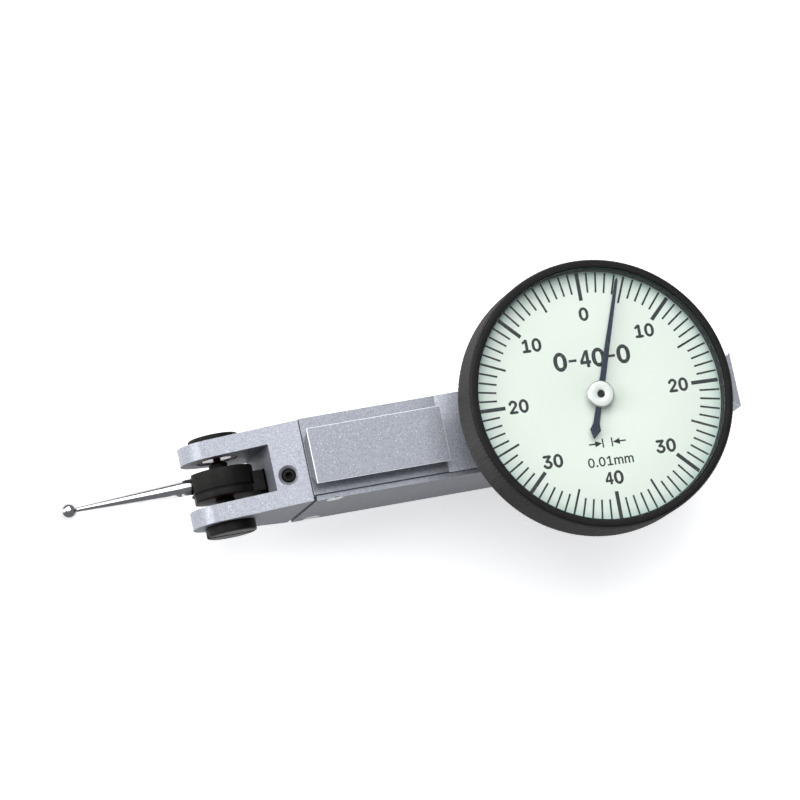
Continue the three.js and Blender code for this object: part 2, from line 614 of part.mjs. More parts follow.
const stylusGroup = new THREE.Group();
stylusGroup.position.set(PIVOT.x, 0, PIVOT.z);
stylusGroup.rotation.y = THREE.MathUtils.degToRad(-STYLUS.droop);
group.add(stylusGroup);
part('stylus_hub', stylusHub(), BLACK_OXIDE, stylusGroup);
part('stylus', stylusRod(), POLISHED_STEEL, stylusGroup);
part('stylus_ball', stylusBall(), POLISHED_STEEL, stylusGroup);

part('crown_arbor', crownArbor(), POLISHED_STEEL);
part('crown_wheel', crownWheel(), BRASS);
part('crown_pinion', crownPinion(), POLISHED_STEEL);
part('crown_bridge', crownBridge(), BRASS);
part('crown_jewel_near', crownJewel(0.25, 0.8, -3.9, -3.35), RUBY);
part('crown_jewel_far', crownJewel(0.25, 1, CAVITY.far, 3.95), RUBY);
CROWN_BRIDGE.screws.forEach((z, i) => {
  part(`crown_bridge_screw_${i + 1}`, smallScrew(z), POLISHED_STEEL);
});

part('lower_bracket', lowerBracket(), BRASS);
part('lower_bracket_screw', bracketScrew(), POLISHED_STEEL);
part('lower_jewel', turnZ(tube(ARBOR.pivot + 0.04, 0.36, 9.9, 10.48)), RUBY);
part('centre_arbor', centreArbor(), POLISHED_STEEL);
part('centre_pinion', centrePinion(), POLISHED_STEEL);
part('hairspring_collet', turnZ(tube(ARBOR.r + RUN, 0.9, 18.5, 19.3)), BRASS);
part('hairspring', hairspring(), SPRING_BRONZE);
part('hairspring_stud', hairspringStud(), BRASS);

part('dial_case', dialCase(), BLACK_BEZEL);
CASE_SCREWS.forEach(([x, y], i) => {
  const screw = panScrew(x, y, CASE.floor + 0.03, [0.7, 14.2], [1.25, 0.8]);
  part(`case_screw_${i + 1}`, screw, POLISHED_STEEL);
});
part('movement_bridge', movementBridge(), BRASS);
part('upper_bush', turnZ(tube(ARBOR.r + RUN, 1.1, BRIDGE.bottom, BRIDGE.top)), SPRING_BRONZE);
[BRIDGE.legs, -BRIDGE.legs].forEach((y, i) => {
  const screw = panScrew(0, y, BRIDGE.top + 0.03, [0.6, 16], [1.2, 0.7]);
  part(`bridge_screw_${i + 1}`, screw, POLISHED_STEEL);
});

part('bezel_snap_ring', snapRing(), POLISHED_STEEL);
part('bezel', bezel(), BLACK_BEZEL);
part('crystal', crystal(), { ...CLEAR, transparent: true, opacity: 0.25 });
part('dial_plate', dialPlate(), DIAL_WHITE);
part('dial_retaining_ring', dialRetainer(), BLACK_BEZEL);
part('pointer', pointer(), POINTER_BLUE);
part('pointer_hub', pointerHub(), POLISHED_STEEL);

export default group;
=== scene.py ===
"""Looks of the lever dial test indicator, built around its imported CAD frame.

Lengths below are millimetres in the part's frame: X along the body, Z the dial's normal,
the origin on the dial's axis at the bottom rail's face. Meshes are written in metres.
"""
import json
import math

import bmesh
import bpy
from mathutils import Matrix, Vector

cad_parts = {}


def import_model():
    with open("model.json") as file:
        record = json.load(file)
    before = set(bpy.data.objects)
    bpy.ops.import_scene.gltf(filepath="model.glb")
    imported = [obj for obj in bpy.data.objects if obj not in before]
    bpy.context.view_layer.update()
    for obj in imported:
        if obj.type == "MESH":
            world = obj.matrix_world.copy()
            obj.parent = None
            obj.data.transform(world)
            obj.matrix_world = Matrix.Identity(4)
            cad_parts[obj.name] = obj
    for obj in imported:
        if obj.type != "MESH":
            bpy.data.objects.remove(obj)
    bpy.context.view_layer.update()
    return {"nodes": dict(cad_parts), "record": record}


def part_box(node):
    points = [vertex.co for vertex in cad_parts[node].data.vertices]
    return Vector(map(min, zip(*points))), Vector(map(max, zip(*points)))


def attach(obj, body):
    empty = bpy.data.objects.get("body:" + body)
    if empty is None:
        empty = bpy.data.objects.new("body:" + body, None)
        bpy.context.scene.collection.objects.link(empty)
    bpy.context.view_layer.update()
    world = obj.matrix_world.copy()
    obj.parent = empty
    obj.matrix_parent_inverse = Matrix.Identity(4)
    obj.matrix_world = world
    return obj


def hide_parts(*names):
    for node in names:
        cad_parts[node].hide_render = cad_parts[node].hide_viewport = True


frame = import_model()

MM = 0.001
JOINTS = {joint["name"]: joint for joint in frame["record"]["behaviour"]["joints"]}


def box_of(node):
    """Lowest and highest corner of a CAD node, in millimetres."""
    low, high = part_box(node)
    return Vector(low) / MM, Vector(high) / MM


# ------------------------------------------------------------------ sizes taken from the frame

PIVOT = Vector(JOINTS["lever_swing"]["pos_m"]) / MM
HEAD_LOW, HEAD_HIGH = box_of("fork_head")
BODY_LOW, BODY_HIGH = box_of("body_frame")
COVER_LOW, COVER_HIGH = box_of("side_cover")
HUB_LOW, HUB_HIGH = box_of("stylus_hub")
BEZEL_LOW, BEZEL_HIGH = box_of("bezel")
CRYSTAL_LOW, CRYSTAL_HIGH = box_of("crystal")
DIAL_LOW, DIAL_HIGH = box_of("dial_plate")
POINTER_LOW, POINTER_HIGH = box_of("pointer")
POINTER_HUB_LOW, POINTER_HUB_HIGH = box_of("pointer_hub")
CASE_LOW, CASE_HIGH = box_of("dial_case")
SHAFT_HIGH = box_of("pivot_shaft")[1]

NOSE_RADIUS = 3.6
SLOT_HALF = 2.6
BEARING_BORE = 2.3
SLOT_BACK = -34.43
WINDOW = (-2.1, 0.7, 1.7)            # nearest y, farthest y, half height
DROOP = math.radians(10)             # the stylus hangs this far below the body's line at rest
STYLUS_LENGTH = 17
STYLUS_Y = 0.3
FLATS_TURN = (math.radians(45), math.radians(225))   # the stylus's two spanner flats
FLATS_START, FLATS_END = 1.3, 2.7    # measured from the hub
FLATS_SUNK = 0.16
BALL_RADIUS = 1.0
DIAL_TURN = math.radians(-1.9)       # how far the dial is turned from +Y
POINTER_TURN = math.radians(-20.6)
SMOOTH = 160                         # facets of the large round pieces
RUN = 0.05                           # gap between pieces that fit together
INSET = 0.02                         # how far a rail's end stops short of a flush face


# ------------------------------------------------------------------ material kit

def new_material(name):
    material = bpy.data.materials.new(name)
    material.use_nodes = True
    tree = material.node_tree
    return material, tree, tree.nodes["Principled BSDF"]


def set_values(shader, **values):
    """Uniform values go straight on the shader's own sockets."""
    for name, value in values.items():
        shader.inputs[name.replace("_", " ")].default_value = value


def noise(tree, size_mm, detail=3.0):
    """A noise texture whose features are about size_mm across."""
    place = tree.nodes.new("ShaderNodeTexCoord")
    node = tree.nodes.new("ShaderNodeTexNoise")
    node.inputs["Scale"].default_value = 1 / (size_mm * MM)
    node.inputs["Detail"].default_value = detail
    tree.links.new(place.outputs["Object"], node.inputs["Vector"])
    return node.outputs["Fac"]


def grains(tree, size_mm):
    """Random grey per grain, grains about size_mm across."""
    place = tree.nodes.new("ShaderNodeTexCoord")
    cells = tree.nodes.new("ShaderNodeTexVoronoi")
    cells.inputs["Scale"].default_value = 1 / (size_mm * MM)
    grey = tree.nodes.new("ShaderNodeRGBToBW")
    tree.links.new(place.outputs["Object"], cells.inputs["Vector"])
    tree.links.new(cells.outputs["Color"], grey.inputs["Color"])
    return grey.outputs["Val"]


def ramp(tree, value, stops):
    """Maps a 0 to 1 value to colours. Stops are (position, colour)."""
    node = tree.nodes.new("ShaderNodeValToRGB")
    spare = node.color_ramp.elements
    while len(spare) < len(stops):
        spare.new(0.5)
    for element, (position, colour) in zip(spare, stops):
        element.position = position
        element.color = (*colour, 1)
    tree.links.new(value, node.inputs["Fac"])
    return node.outputs["Color"]


def colour_by(tree, shader, value, stops):
    """Colours the surface by a 0 to 1 value."""
    tree.links.new(ramp(tree, value, stops), shader.inputs["Base Color"])


def span(tree, value, low, high):
    """Maps a 0 to 1 value to the range low to high."""
    node = tree.nodes.new("ShaderNodeMapRange")
    node.inputs["To Min"].default_value = low
    node.inputs["To Max"].default_value = high
    tree.links.new(value, node.inputs["Value"])
    return node.outputs["Result"]


def bump(tree, shader, height, strength, distance_mm):
    node = tree.nodes.new("ShaderNodeBump")
    node.inputs["Strength"].default_value = strength
    node.inputs["Distance"].default_value = distance_mm * MM
    tree.links.new(height, node.inputs["Height"])
    tree.links.new(node.outputs["Normal"], shader.inputs["Normal"])


def satin_chrome(name="satin_chrome", tone=1.0, metallic=0.65, gloss=0.5):
    """Pearl-blasted matt chrome: a bluish grey with fine bright and dark grains."""
    material, tree, shader = new_material(name)
    speckle = grains(tree, 0.09)
    stops = [(0.15, (0.25, 0.26, 0.295)), (0.5, (0.315, 0.33, 0.375)),
             (0.88, (0.38, 0.395, 0.445)), (0.98, (0.66, 0.68, 0.74))]
    colour_by(tree, shader, speckle, [(at, [tone * part for part in tint]) for at, tint in stops])
    tree.links.new(span(tree, noise(tree, 0.4), 0.36, 0.48), shader.inputs["Roughness"])
    set_values(shader, Metallic=metallic, Specular_IOR_Level=gloss)
    bump(tree, shader, noise(tree, 0.09, 2), 0.25, 0.01)
    return material


def bright_edge():
    """Painted highlight on the rounded edges: near white, standing in for the light they catch."""
    material, tree, shader = new_material("bright_edge")
    colour_by(tree, shader, noise(tree, 0.3), [(0.3, (0.88, 0.89, 0.92)), (0.7, (0.95, 0.96, 0.98))])
    set_values(shader, Metallic=0.1, Roughness=0.25)
    return material


def black_steel():
    """Black oxide on turned steel, slightly brown, with faint dust and machining."""
    material, tree, shader = new_material("black_steel")
    colour_by(tree, shader, noise(tree, 0.5, 5), [(0.3, (0.005, 0.0048, 0.0045)),
                                                  (0.75, (0.011, 0.010, 0.0092))])
    tree.links.new(span(tree, noise(tree, 0.25), 0.4, 0.55), shader.inputs["Roughness"])
    set_values(shader, Specular_IOR_Level=0.13)
    bump(tree, shader, noise(tree, 0.12), 0.1, 0.006)
    return material


def black_bezel():
    """Satin black finish on the bezel and case."""
    material, tree, shader = new_material("black_bezel")
    colour_by(tree, shader, noise(tree, 0.8, 4), [(0.3, (0.009, 0.0085, 0.0085)),
                                                  (0.8, (0.016, 0.015, 0.0145))])
    tree.links.new(span(tree, noise(tree, 0.3), 0.38, 0.5), shader.inputs["Roughness"])
    set_values(shader, Specular_IOR_Level=0.12)
    bump(tree, shader, noise(tree, 0.1), 0.12, 0.006)
    return material


def worn_crest():
    """Painted highlight on the knurl's crests: a lighter, glossier black standing in for the light they
    catch.
    """
    material, tree, shader = new_material("worn_crest")
    colour_by(tree, shader, noise(tree, 0.4, 4), [(0.35, (0.014, 0.0135, 0.013)),
                                                  (0.7, (0.045, 0.043, 0.04))])
    set_values(shader, Roughness=0.35)
    return material


def metal(name, dark, light, rough, grain_mm=0.35):
    """A machined metal: colour and roughness drift slightly over the surface."""
    material, tree, shader = new_material(name)
    colour_by(tree, shader, noise(tree, grain_mm * 3), [(0.3, dark), (0.7, light)])
    tree.links.new(span(tree, noise(tree, grain_mm), rough * 0.8, rough * 1.25),
                   shader.inputs["Roughness"])
    set_values(shader, Metallic=1.0)
    bump(tree, shader, noise(tree, grain_mm * 0.3), 0.06, 0.004)
    return material


def ruby():
    material, tree, shader = new_material("ruby")
    colour_by(tree, shader, noise(tree, 0.6), [(0.3, (0.32, 0.012, 0.04)), (0.7, (0.5, 0.03, 0.08))])
    set_values(shader, Roughness=0.08, IOR=1.76)
    return material


def dial_enamel():
    """Pale mint enamel, with painted shade near the rim: darker and bluer towards the edge, standing in for
    the bezel's shadow.
    """
    material, tree, shader = new_material("dial_enamel")
    place = tree.nodes.new("ShaderNodeTexCoord")
    flat = tree.nodes.new("ShaderNodeVectorMath")
    flat.operation = "MULTIPLY"
    flat.inputs[1].default_value = (1 / (DIAL_HIGH.x * MM), 1 / (DIAL_HIGH.x * MM), 0)
    tree.links.new(place.outputs["Object"], flat.inputs[0])
    radius = tree.nodes.new("ShaderNodeVectorMath")
    radius.operation = "LENGTH"
    tree.links.new(flat.outputs["Vector"], radius.inputs[0])
    # painted shade: the outer tenth of the dial darkens towards the rim
    colour_by(tree, shader, radius.outputs["Value"],
              [(0.0, (0.735, 0.815, 0.735)), (0.8, (0.73, 0.81, 0.735)),
               (0.9, (0.69, 0.79, 0.72)), (1.0, (0.45, 0.62, 0.57))])
    tree.links.new(span(tree, noise(tree, 0.6), 0.5, 0.62), shader.inputs["Roughness"])
    return material


def printing_ink():
    material, tree, shader = new_material("printing_ink")
    colour_by(tree, shader, noise(tree, 0.15), [(0.3, (0.002, 0.007, 0.008)), (0.7, (0.004, 0.012, 0.012))])
    set_values(shader, Roughness=0.55)
    return material


def pointer_blue():
    material, tree, shader = new_material("pointer_blue")
    colour_by(tree, shader, noise(tree, 0.4), [(0.3, (0.001, 0.010, 0.026)), (0.7, (0.002, 0.016, 0.038))])
    tree.links.new(span(tree, noise(tree, 0.2), 0.25, 0.35), shader.inputs["Roughness"])
    set_values(shader, Specular_IOR_Level=0.25)
    return material


def crystal_clear():
    """The flat crystal: almost invisible face on, with clear reflections."""
    material, tree, shader = new_material("crystal_clear")
    colour_by(tree, shader, noise(tree, 4), [(0.2, (0.86, 0.95, 0.92)), (0.8, (0.93, 0.98, 0.96))])
    set_values(shader, Roughness=0.02, IOR=1.49, Alpha=0.012)
    return material


def crystal_rim():
    """The crystal's polished rim, dark against the bezel with a thin reflection."""
    material, tree, shader = new_material("crystal_rim")
    colour_by(tree, shader, noise(tree, 0.8), [(0.2, (0.02, 0.05, 0.05)), (0.8, (0.05, 0.09, 0.09))])
    set_values(shader, Roughness=0.12, IOR=1.49, Alpha=0.35)
    return material


LOOKS = {
    "satin_chrome": satin_chrome(),
    # painted shade: a darker, duller copy of the chrome for faces that lie in shade
    "side_painted_shade": satin_chrome("side_painted_shade", 0.5, 0, 0.05),
    # painted light: a lighter copy of the chrome for the deck, brightening it where the bezel shades it
    "deck_chrome_painted_light": satin_chrome("deck_chrome_painted_light", 1.9),
    # painted highlight: near-white material for the rounded edges
    "bright_edge": bright_edge(),
    "black_steel": black_steel(),
    "black_anodised": black_bezel(),
    # painted highlight for the knurl's crests
    "worn_crest": worn_crest(),
    "polished_steel": metal("polished_steel", (0.50, 0.50, 0.51), (0.60, 0.60, 0.61), 0.14),
    "bright_screw": metal("bright_screw", (0.5, 0.5, 0.51), (0.68, 0.68, 0.69), 0.26),
    "plated_hub": metal("plated_hub", (0.60, 0.64, 0.61), (0.66, 0.70, 0.67), 0.4, 2.0),
    "movement_brass": metal("movement_brass", (0.58, 0.40, 0.16), (0.74, 0.54, 0.25), 0.3),
    "spring_bronze": metal("spring_bronze", (0.5, 0.32, 0.17), (0.62, 0.43, 0.26), 0.28),
    "jewel": ruby(),
    "dial_enamel": dial_enamel(),
    "printing_ink": printing_ink(),
    "pointer_blue": pointer_blue(),
    "crystal": crystal_clear(),
    "crystal_rim": crystal_rim(),
}


# ------------------------------------------------------------------ mesh kit

def new_object(name, mesh):
    obj = bpy.data.objects.new(name, mesh)
    bpy.context.scene.collection.objects.link(obj)
    return obj


def from_mm(name, points, faces):
    """A mesh object from points in millimetres."""
    mesh = bpy.data.meshes.new(name)
    mesh.from_pydata([Vector(point) * MM for point in points], [], faces)
    mesh.validate()
    tidy = bmesh.new()
    tidy.from_mesh(mesh)
    bmesh.ops.recalc_face_normals(tidy, faces=tidy.faces)
    tidy.to_mesh(mesh)
    tidy.free()
    return new_object(name, mesh)


def arc(centre, radius, start, end, steps):
    """Points on an arc in the plane of an outline, angles in degrees."""
    angles = [math.radians(start + (end - start) * i / steps) for i in range(steps + 1)]
    return [(centre[0] + radius * math.cos(a), centre[1] + radius * math.sin(a)) for a in angles]


PLANES = {                            # outline (u, v) pushed along w
    "XY": lambda u, v, w: (u, v, w),
    "XZ": lambda u, v, w: (u, w, v),
    "YZ": lambda u, v, w: (w, u, v),
}


def prism(outline, plane, low, high, name="prism"):
    place = PLANES[plane]
    count = len(outline)
    points = [place(u, v, w) for w in (low, high) for u, v in outline]
    sides = [(i, (i + 1) % count, count + (i + 1) % count, count + i) for i in range(count)]
    return from_mm(name, points, [range(count), range(count, 2 * count), *sides])


def block(x, y, z, name="block"):
    return prism([(x[0], y[0]), (x[1], y[0]), (x[1], y[1]), (x[0], y[1])], "XY", *z, name)


def rounded(section, radius, steps=3):
    """A section with its corners rounded off, apart from the ends on the axis."""
    closed = section[0] == section[-1]
    corners = section[:-1] if closed else section
    result = []
    for i, corner in enumerate(corners):
        if not closed and i in (0, len(corners) - 1):
            result.append(corner)
            continue
        here = Vector(corner)
        before, after = Vector(corners[i - 1]), Vector(corners[(i + 1) % len(corners)])
        reach = min(radius, (before - here).length * 0.45, (after - here).length * 0.45)
        start = here + (before - here).normalized() * reach
        end = here + (after - here).normalized() * reach
        for k in range(steps + 1):
            t = k / steps
            result.append(tuple(start * (1 - t) ** 2 + here * 2 * t * (1 - t) + end * t ** 2))
    return result + result[:1] if closed else result


AXES = {                              # (radius, height, angle) about an axis through a centre
    "X": lambda r, h, c, s: (h, r * c, r * s),
    "Y": lambda r, h, c, s: (r * s, h, r * c),
    "Z": lambda r, h, c, s: (r * c, r * s, h),
}


def turned(section, axis, centre=(0, 0, 0), steps=96, name="turned"):
    """A lathe piece from (radius, height) points; ends on the axis close it with a cap."""
    closed = section[0] == section[-1]
    rows = section[:-1] if closed else section
    place, points, starts = AXES[axis], [], []
    for r, h in rows:
        starts.append((len(points), r < 1e-6))
        count = 1 if r < 1e-6 else steps
        for k in range(count):
            angle = 2 * math.pi * k / steps
            spot = Vector(place(r, h, math.cos(angle), math.sin(angle)))
            points.append(spot + Vector(centre))
    faces = []
    for i in range(len(rows) if closed else len(rows) - 1):
        (a, a_pole), (b, b_pole) = starts[i], starts[(i + 1) % len(rows)]
        for k in range(steps):
            n = (k + 1) % steps
            if a_pole:
                faces.append((a, b + k, b + n))
            elif b_pole:
                faces.append((a + k, a + n, b))
            else:
                faces.append((a + k, a + n, b + n, b + k))
    return from_mm(name, points, faces)


def rod(radius, low, high):
    return [(0, low), (radius, low), (radius, high), (0, high)]


def ring(bore, radius, low, high):
    return [(bore, low), (radius, low), (radius, high), (bore, high), (bore, low)]


def bake(obj):
    """Turns the object's modifiers into its mesh."""
    graph = bpy.context.evaluated_depsgraph_get()
    mesh = bpy.data.meshes.new_from_object(obj.evaluated_get(graph))
    obj.modifiers.clear()
    obj.data = mesh
    return obj


def combine(operation, base, *others):
    for other in others:
        step = base.modifiers.new("combine", "BOOLEAN")
        step.operation = operation
        step.solver = "EXACT"
        step.object = other
    bake(base)
    for other in others:
        bpy.data.objects.remove(other)
    return base


def cut(base, *tools):
    return combine("DIFFERENCE", base, *tools)


def join(base, *others):
    return combine("UNION", base, *others)


def shade(obj, angle=32):
    obj.data.shade_smooth()
    obj.data.set_sharp_from_angle(angle=math.radians(angle))


def soften(obj, width, edge_look=None):
    """Rounds the sharp edges; edge_look gives the rounded edges a look of their own, here a painted
    highlight.
    """
    bevel = obj.modifiers.new("edges", "BEVEL")
    bevel.width = width * MM
    bevel.segments = 2
    bevel.limit_method = "ANGLE"
    bevel.angle_limit = math.radians(30)
    bevel.miter_outer = "MITER_ARC"
    if edge_look:
        obj.data.materials.append(LOOKS[edge_look])
        bevel.material = len(obj.data.materials) - 1
    bevel.harden_normals = True
    shade(obj)


def piece(obj, name, look, body, *stands_for, slot=None, edge=0, edge_look=None):
    """Names, finishes and fastens a piece to the body it moves with."""
    obj.name = name
    obj.data.name = name
    obj.data.materials.clear()
    obj.data.materials.append(LOOKS[look])
    if edge:
        soften(obj, edge, edge_look)
    else:
        shade(obj)
    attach(obj, body)
    if stands_for:
        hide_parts(*stands_for)
    return obj


# ------------------------------------------------------------------ body, fork and cover

LEDGE = HEAD_HIGH.z                  # the body's top face in front of the dial
UNDERSIDE = HEAD_LOW.z
NEAR = COVER_HIGH.y + RUN            # the body's side under the cover
FAR = BODY_HIGH.y
REAR = BODY_HIGH.x - (UNDERSIDE - BODY_LOW.z)
RAIL_HEIGHT = UNDERSIDE - BODY_LOW.z
RAIL_HALF = 3.1
RAIL_ROOT = RAIL_HALF - RAIL_HEIGHT * math.tan(math.radians(30))
DECK = LEDGE + 0.15
DECK_FRONT = -15.4
POST_FRONT = 13                      # the tall part behind the case
SEAM = 0.12                          # shadow gap along the cover's top edge
SEAM_DEPTH = 0.4
THREAD_RADIUS = 0.75                 # of the case, bridge and head screws
TOP_RAIL = (-30.75, -15.5)
BOTTOM_RAIL_FRONT = -12
CAVITY_LOW = Vector((-29.4, -6, 4))
CAVITY_HIGH = Vector((12, 3.2, 13.9))
COVER_SCREWS = [node for node in frame["nodes"] if node.startswith("side_cover_screw")]
CASE_SCREWS = [node for node in frame["nodes"] if node.startswith("case_screw")]
HEAD_SCREWS = [node for node in frame["nodes"] if node.startswith("head_screw")]


def middle(node):
    low, high = box_of(node)
    return (low + high) / 2


def rail_outline(base, direction):
    """A dovetail's section as (across, height), standing on base."""
    face = base + RAIL_HEIGHT * direction
    return [(-RAIL_ROOT, base), (RAIL_ROOT, base), (RAIL_HALF, face), (-RAIL_HALF, face)]


def top_rail():
    return prism(rail_outline(LEDGE, 1), "YZ", *TOP_RAIL)


def bottom_rail():
    return prism(rail_outline(UNDERSIDE, -1), "YZ", BOTTOM_RAIL_FRONT, REAR - INSET)


def rear_rail():
    section = [(height, across) for across, height in rail_outline(REAR, 1)]
    return prism(section, "XY", UNDERSIDE + INSET, BODY_HIGH.z - INSET)


def top_holes():
    """What is drilled down from the deck: the arbor's hole and the case screws' threads."""
    holes = [turned(rod(0.9, CAVITY_HIGH.z - 1, DECK + 1), "Z")]
    for node in CASE_SCREWS:
        spot = middle(node)
        holes.append(turned(rod(THREAD_RADIUS, 14.1, DECK + 1), "Z", (spot.x, spot.y, 0), 32))
    return holes


def seam():
    """The shadow gap along the cover's top edge."""
    return block((BODY_LOW.x - 1, REAR + 1), (NEAR - 1, NEAR + SEAM), (LEDGE - SEAM_DEPTH, LEDGE + 1))


def deck():
    """The raised pad under the case and the taller post behind it."""
    pad = block((DECK_FRONT, REAR), (NEAR, FAR), (LEDGE, DECK))
    post = block((POST_FRONT, REAR), (NEAR, FAR), (LEDGE, BODY_HIGH.z))
    return cut(join(pad, post), *top_holes())


def body_frame():
    body = block((BODY_LOW.x, REAR), (NEAR, FAR), (UNDERSIDE, LEDGE))
    cut(body, block(*zip(CAVITY_LOW, CAVITY_HIGH)))
    bridge = middle("crown_bridge")
    far_face = box_of("crown_bridge")[1].y + RUN
    lugs = [block((-1.5, 1.5), (far_face, far_face + 1.55), heights)
            for heights in ((CAVITY_LOW.z - 1, 5.5), (12.4, CAVITY_HIGH.z + 1))]
    join(body, *lugs)
    window = block((BODY_LOW.x - 1, CAVITY_LOW.x + 1), WINDOW[:2],
                   (PIVOT.z - WINDOW[2], PIVOT.z + WINDOW[2]))
    jewel_hole = turned(rod(1.05, CAVITY_HIGH.y - 1, FAR + 1), "Y", (0, 0, bridge.z))
    joint_gap = block((BODY_LOW.x - 1, BODY_LOW.x + 0.1), (NEAR - 1, FAR + 1),
                      (LEDGE - SEAM_DEPTH, LEDGE + 1))
    holes = [window, jewel_hole, seam(), joint_gap, *top_holes()]
    for node in COVER_SCREWS:
        spot = middle(node)
        holes.append(turned(rod(0.55, NEAR - 1, -1.4), "Y", (spot.x, 0, spot.z), 32))
    for node in HEAD_SCREWS:
        spot = middle(node)
        holes.append(turned(rod(THREAD_RADIUS, BODY_LOW.x - 1, CAVITY_LOW.x + 1), "X",
                            (0, spot.y, spot.z), 32))
    return cut(body, *holes)


HALF_HEIGHT = (HEAD_HIGH.z - HEAD_LOW.z) / 2
NOSE_X = HEAD_LOW.x + NOSE_RADIUS
REACH = HEAD_HIGH.x - NOSE_X
TAPER = math.atan2(HALF_HEIGHT, REACH) - math.asin(NOSE_RADIUS / math.hypot(HALF_HEIGHT, REACH))
SCREW_X = -33
SCREW_AT = Vector((SCREW_X, -1.2, HEAD_HIGH.z - math.tan(TAPER) * (HEAD_HIGH.x - SCREW_X)))
SCREW_RADIUS = 0.75
SCREW_SUNK = 0.35


def square_to_fork(section, steps=64):
    """A turned piece standing square on the fork's sloping top at the set screw."""
    obj = turned(section, "Z", steps=steps)
    turn = Matrix.Translation(SCREW_AT * MM) @ Matrix.Rotation(-TAPER, 4, "Y")
    obj.data.transform(turn)
    return obj


def fork_head():
    taper = math.degrees(TAPER)
    outline = [(HEAD_HIGH.x, HEAD_LOW.z), (HEAD_HIGH.x, HEAD_HIGH.z)]
    outline += arc((NOSE_X, PIVOT.z), NOSE_RADIUS, 90 + taper, 270 - taper, 48)
    head = prism(outline, "XZ", HEAD_LOW.y, HEAD_HIGH.y)
    slot = block((-60, SLOT_BACK), (-SLOT_HALF, SLOT_HALF), (-5, 30))
    window = block((SLOT_BACK - 1, HEAD_HIGH.x + 1), WINDOW[:2],
                   (PIVOT.z - WINDOW[2], PIVOT.z + WINDOW[2]))
    bearings = turned(rod(BEARING_BORE, -9, 9), "Y", (PIVOT.x, 0, PIVOT.z), 96)
    bore = SCREW_RADIUS + RUN
    set_hole = square_to_fork([(0, -3.25), (bore, -3.25), (bore, -0.3), (bore + 0.3, 0),
                               (bore + 0.3, 1), (0, 1)])
    holes = [turned(rod(THREAD_RADIUS, -33.4, -30), "X", (0, middle(node).y, middle(node).z), 32)
             for node in HEAD_SCREWS]
    return cut(head, slot, window, bearings, set_hole, *holes)


def countersunk(extra, tip):
    """A countersunk screw's section along +Y from the cover's face."""
    face = COVER_LOW.y
    return [(0, face - extra), (0.95 + extra, face - extra), (0.5 + extra, face + 0.42),
            (0.5 + extra, tip), (0, tip)]


def side_cover():
    plate = block(*zip(COVER_LOW, COVER_HIGH))
    sinks = [turned(countersunk(RUN, -3), "Y", (middle(node).x, 0, middle(node).z), 64)
             for node in COVER_SCREWS]
    return cut(plate, *sinks)


def cover_screw(node):
    spot = middle(node)
    screw = turned(rounded(countersunk(0, -1.6), 0.05), "Y", (spot.x, 0, spot.z), 64)
    slot = block((spot.x - 2, spot.x + 2), (COVER_LOW.y - 1, COVER_LOW.y + 0.22),
                 (spot.z - 0.13, spot.z + 0.13))
    return cut(screw, slot)


def set_screw():
    low, high = -SCREW_SUNK - 2.6, -SCREW_SUNK
    screw = square_to_fork(rounded([(0, low), (SCREW_RADIUS - 0.3, low), (SCREW_RADIUS, low + 0.3),
                                    (SCREW_RADIUS, high - 0.12), (SCREW_RADIUS - 0.12, high),
                                    (0, high)], 0.04))
    return cut(screw, square_to_fork(rod(0.42, high - 0.9, high + 1), 6))


def darken_sides(obj, slope=0.9):
    """Painted shade: a darker, duller copy of the chrome for the faces square to Y and for those behind the
    pivot that face it.
    """
    obj.data.materials.append(LOOKS["side_painted_shade"])
    for face in obj.data.polygons:
        facing = face.normal.x < -slope and face.center.x > PIVOT.x * MM
        if abs(face.normal.y) > slope or facing:
            face.material_index = len(obj.data.materials) - 1


# darken_sides paints shade on the side faces of the body pieces, not a different finish
darken_sides(piece(body_frame(), "body_shell", "satin_chrome", "frame", "body_frame", edge=0.05,
                   edge_look="bright_edge"))
# the deck takes the lighter chrome, painted light where the bezel shades it
darken_sides(piece(deck(), "body_deck", "deck_chrome_painted_light", "frame", slot="satin_chrome", edge=0.04,
                   edge_look="bright_edge"))
for rail in (top_rail, bottom_rail, rear_rail):
    darken_sides(piece(rail(), rail.__name__, "satin_chrome", "frame", edge=0.08,
                       edge_look="bright_edge"))
darken_sides(piece(fork_head(), "fork", "satin_chrome", "frame", "fork_head", edge=0.1,
                   edge_look="bright_edge"))
darken_sides(piece(side_cover(), "cover_plate", "satin_chrome", "frame", "side_cover", edge=0.05,
                   edge_look="bright_edge"))
for number, node in enumerate(COVER_SCREWS, 1):
    piece(cover_screw(node), f"cover_screw_{number}", "bright_screw", "frame", node)
piece(set_screw(), "set_screw", "black_steel", "frame", "head_set_screw")


# ------------------------------------------------------------------ pivot, lever and stylus

LEVER_NEAR, LEVER_FAR = -1.7, -0.95
HUB_RADIUS = (HUB_HIGH.z - HUB_LOW.z) / 2
HUB_FLAT = 3.2                       # from the axis to the hub's flat front


def sided(section, side):
    """The section for the far ear, or mirrored for the near one."""
    return section if side > 0 else [(r, -h) for r, h in reversed(section)]


def bearing_cap(side):
    low, high = box_of("bearing_cap_far" if side > 0 else "bearing_cap_near")
    radius, seat = (high.x - low.x) / 2, HEAD_HIGH.y + RUN
    inner, face = sorted((abs(low.y), abs(high.y)))
    section = [(0, 4), (0.8, 4), (0.8, 3.3), (1.75, 3.3), (1.75, inner), (2.2, inner),
               (2.2, seat), (radius, seat), (radius, face - 0.1), (radius - 0.12, face), (0, face)]
    cap = turned(sided(rounded(section, 0.05), side), "Y", (PIVOT.x, 0, PIVOT.z), 96)
    heights = (face - 0.35, 9) if side > 0 else (-9, 0.35 - face)
    slot = block((PIVOT.x - 4, PIVOT.x + 4), heights, (PIVOT.z - 0.3, PIVOT.z + 0.3))
    return cut(cap, slot)


def pivot_jewel(side):
    low, high = box_of("pivot_jewel_far")
    section = rounded(ring(0.45, (high.x - low.x) / 2, low.y, high.y), 0.1)
    return turned(sided(section, side), "Y", (PIVOT.x, 0, PIVOT.z), 64)


